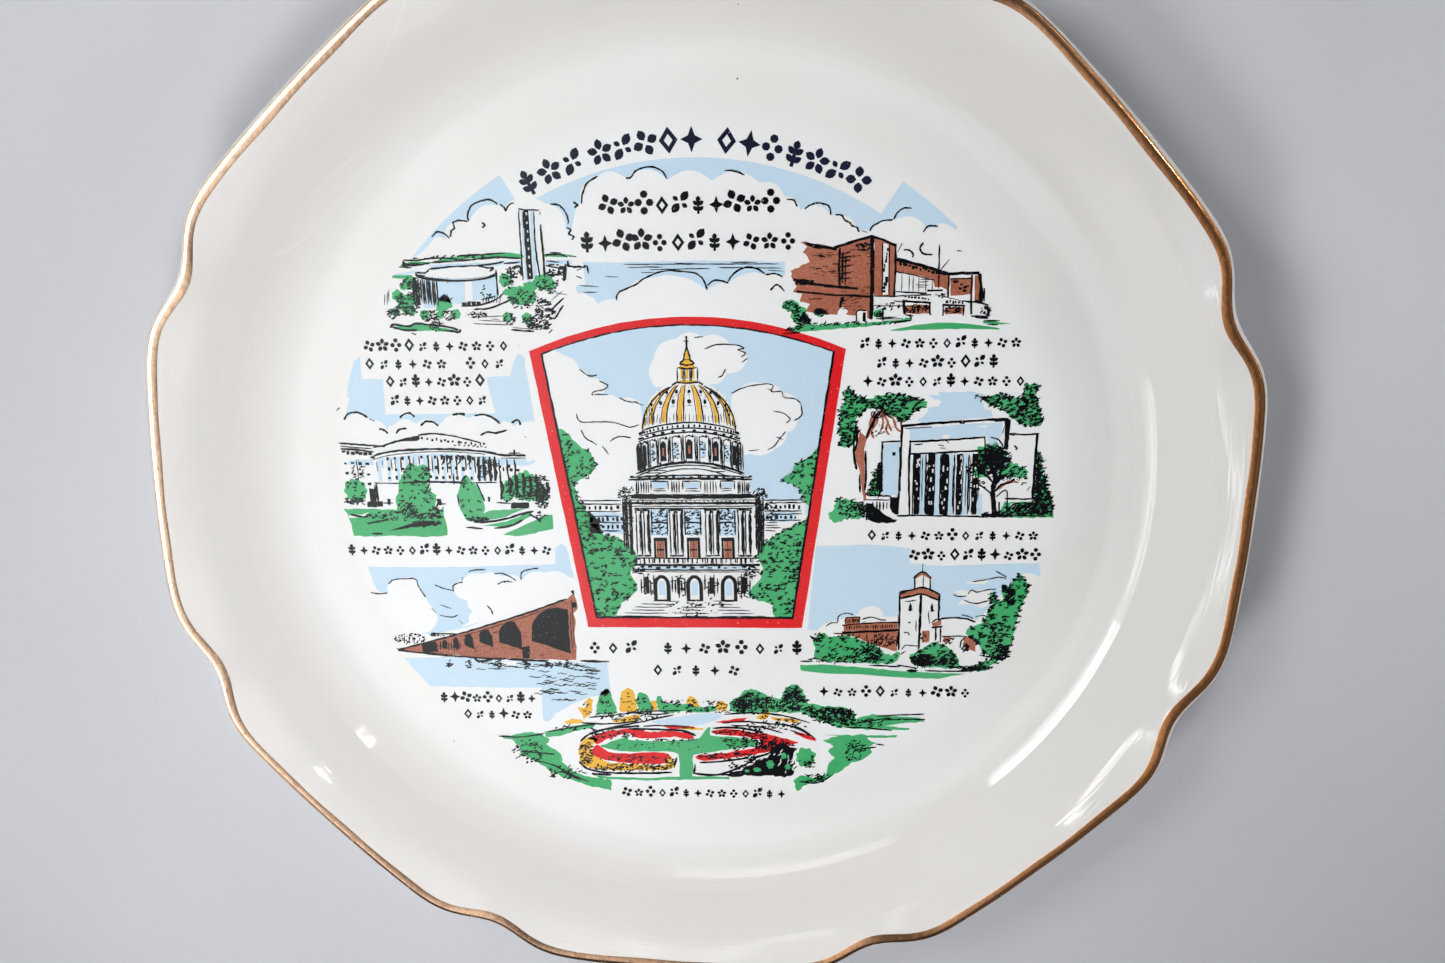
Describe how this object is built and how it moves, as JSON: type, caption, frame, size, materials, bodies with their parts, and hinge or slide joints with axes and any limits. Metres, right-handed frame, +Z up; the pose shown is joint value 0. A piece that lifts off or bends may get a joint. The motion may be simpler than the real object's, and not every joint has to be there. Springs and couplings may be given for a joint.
{
  "type": "souvenir plate",
  "caption": "Round eight-sided glazed wall plate with bracket notches, a gilt edge and a printed souvenir picture in the well.",
  "frame": {"origin": "centre of the foot ring, on the surface that the plate stands on", "axes": "+Z up out of the well, +Y towards the top of the printed picture, +X to the picture's right"},
  "size_m": [0.2566, 0.2566, 0.0239],
  "materials": {
    "glaze": "glossy cream glaze with fine crazing",
    "gilding": "bright gold lustre, rubbed thin along the lip",
    "ink_navy": "dark navy printed enamel under a glossy flux",
    "ink_black": "black printed enamel under a glossy flux",
    "ink_blue": "pale blue printed enamel under a glossy flux",
    "ink_green": "green printed enamel under a glossy flux",
    "ink_red": "red printed enamel under a glossy flux",
    "ink_brown": "brick brown printed enamel under a glossy flux",
    "ink_yellow": "golden yellow printed enamel under a glossy flux"
  },
  "bodies": {
    "root": {"plate_body": "glaze", "gold_rim_band": "gilding", "title_ornaments": "ink_navy", "name_ornaments": "ink_black", "caption_ornaments": "ink_black", "crown_sky": "ink_blue", "crown_cloud_lines": "ink_black", "panel_frame": "ink_red", "panel_keyline": "ink_black", "panel_sky": "ink_blue", "panel_trees": "ink_green", "dome_ribs": "ink_yellow", "dome_hall_panes": "ink_blue", "dome_hall_doors": "ink_brown", "dome_hall_lines": "ink_black", "drum_hall_panes": "ink_blue", "drum_hall_lines": "ink_black", "drum_hall_trees": "ink_green", "brick_hall_walls": "ink_brown", "brick_hall_lines": "ink_black", "brick_hall_lawn": "ink_green", "crescent_hall_sky": "ink_blue", "crescent_hall_lines": "ink_black", "crescent_hall_trees": "ink_green", "portico_hall_sky": "ink_blue", "portico_hall_lines": "ink_black", "portico_hall_trees": "ink_green", "portico_hall_trunk": "ink_brown", "bridge_spans": "ink_brown", "bridge_lines": "ink_black", "river_water": "ink_blue", "tower_hall_sky": "ink_blue", "tower_hall_roofs": "ink_brown", "tower_hall_lines": "ink_black", "tower_hall_trees": "ink_green", "garden_greens": "ink_green", "garden_red_beds": "ink_red", "garden_yellow_beds": "ink_yellow", "garden_lines": "ink_black"}
  },
  "joints": []
}
